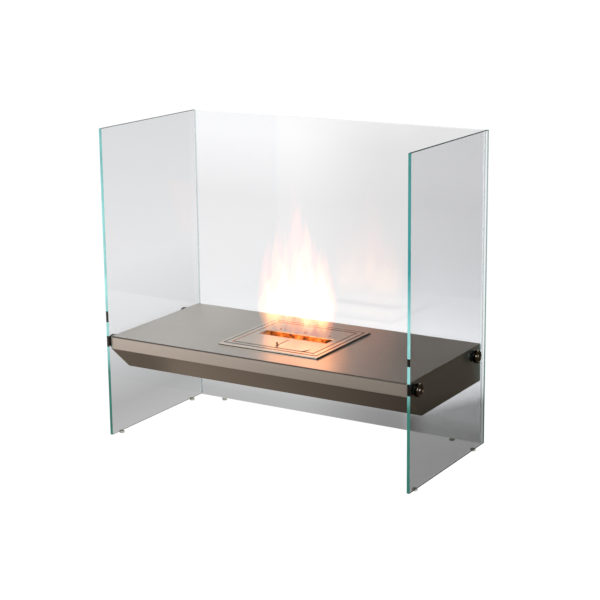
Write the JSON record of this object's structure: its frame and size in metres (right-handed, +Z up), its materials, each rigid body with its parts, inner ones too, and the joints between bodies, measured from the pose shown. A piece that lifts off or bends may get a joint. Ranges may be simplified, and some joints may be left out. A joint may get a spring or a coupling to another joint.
{
  "type": "bioethanol fireplace",
  "caption": "Free-standing ethanol fireplace: clear glass side and back panes carry a folded steel tray with a drop-in burner and sliding shutter.",
  "frame": {"origin": "on the floor, under the middle of the object", "axes": "+X to the right seen from the front, +Y towards the back pane, +Z up"},
  "size_m": [0.921, 0.425, 0.831],
  "materials": {
    "clear_glass": "clear float glass with a green tint in its polished edges",
    "clear_bond": "clear adhesive",
    "foot_pad": "translucent grey plastic",
    "tray_steel": "brushed along the width, satin",
    "burner_steel": "satin stainless",
    "lid_steel": "satin stainless, faintly heat-tinted",
    "heated_steel": "blued and sooted by the flame",
    "dark_chrome": "polished, dark",
    "plated_steel": "plated",
    "black_nylon": "black nylon",
    "black_gasket": "black woven glass-fibre tape",
    "mineral_fibre": "felted ceramic fibre"
  },
  "bodies": {
    "stand": {"glass_back": "clear_glass", "glass_left": "clear_glass", "glass_right": "clear_glass", "corner_bond_left": "clear_bond", "corner_bond_right": "clear_bond", "foot_left_front": "foot_pad", "foot_left_rear": "foot_pad", "foot_back_left": "foot_pad", "foot_right_front": "foot_pad", "foot_right_rear": "foot_pad", "foot_back_right": "foot_pad", "tray_top": "tray_steel", "tray_underside": "tray_steel", "tray_end_left": "tray_steel", "tray_end_right": "tray_steel", "bolt_left_front": "dark_chrome", "bolt_washer_left_front": "black_nylon", "bolt_sleeve_left_front": "black_nylon", "tray_spacer_left_front": "black_nylon", "tray_nut_left_front": "plated_steel", "bolt_left_rear": "dark_chrome", "bolt_washer_left_rear": "black_nylon", "bolt_sleeve_left_rear": "black_nylon", "tray_spacer_left_rear": "black_nylon", "tray_nut_left_rear": "plated_steel", "bolt_right_front": "dark_chrome", "bolt_washer_right_front": "black_nylon", "bolt_sleeve_right_front": "black_nylon", "tray_spacer_right_front": "black_nylon", "tray_nut_right_front": "plated_steel", "bolt_right_rear": "dark_chrome", "bolt_washer_right_rear": "black_nylon", "bolt_sleeve_right_rear": "black_nylon", "tray_spacer_right_rear": "black_nylon", "tray_nut_right_rear": "plated_steel", "burner_gasket": "black_gasket", "burner_frame": "burner_steel"},
    "tank": {"burner_tank": "burner_steel", "fibre_block": "mineral_fibre", "lid_rest_front_left": "burner_steel", "lid_rest_rear_left": "burner_steel", "lid_rest_front_right": "burner_steel", "lid_rest_rear_right": "burner_steel"},
    "lid": {"burner_lid": "lid_steel", "flame_baffle": "heated_steel", "baffle_rib": "heated_steel", "baffle_rivet_1": "burner_steel", "baffle_rivet_2": "burner_steel", "baffle_rivet_3": "burner_steel", "shutter_rail_left": "burner_steel", "shutter_rail_right": "burner_steel"},
    "shutter": {"shutter_plate": "burner_steel", "shutter_pin": "dark_chrome"}
  },
  "joints": [
    {"name": "tank_lift", "type": "slide", "parent": "stand", "child": "tank", "axis": [0, 0, 1], "range_m": [0, 0.1]},
    {"name": "lid_lift", "type": "slide", "parent": "tank", "child": "lid", "axis": [0, 0, 1], "range_m": [0, 0.05]},
    {"name": "shutter_slide", "type": "slide", "parent": "lid", "child": "shutter", "axis": [0, 1, 0], "range_m": [0, 0.046]}
  ]
}
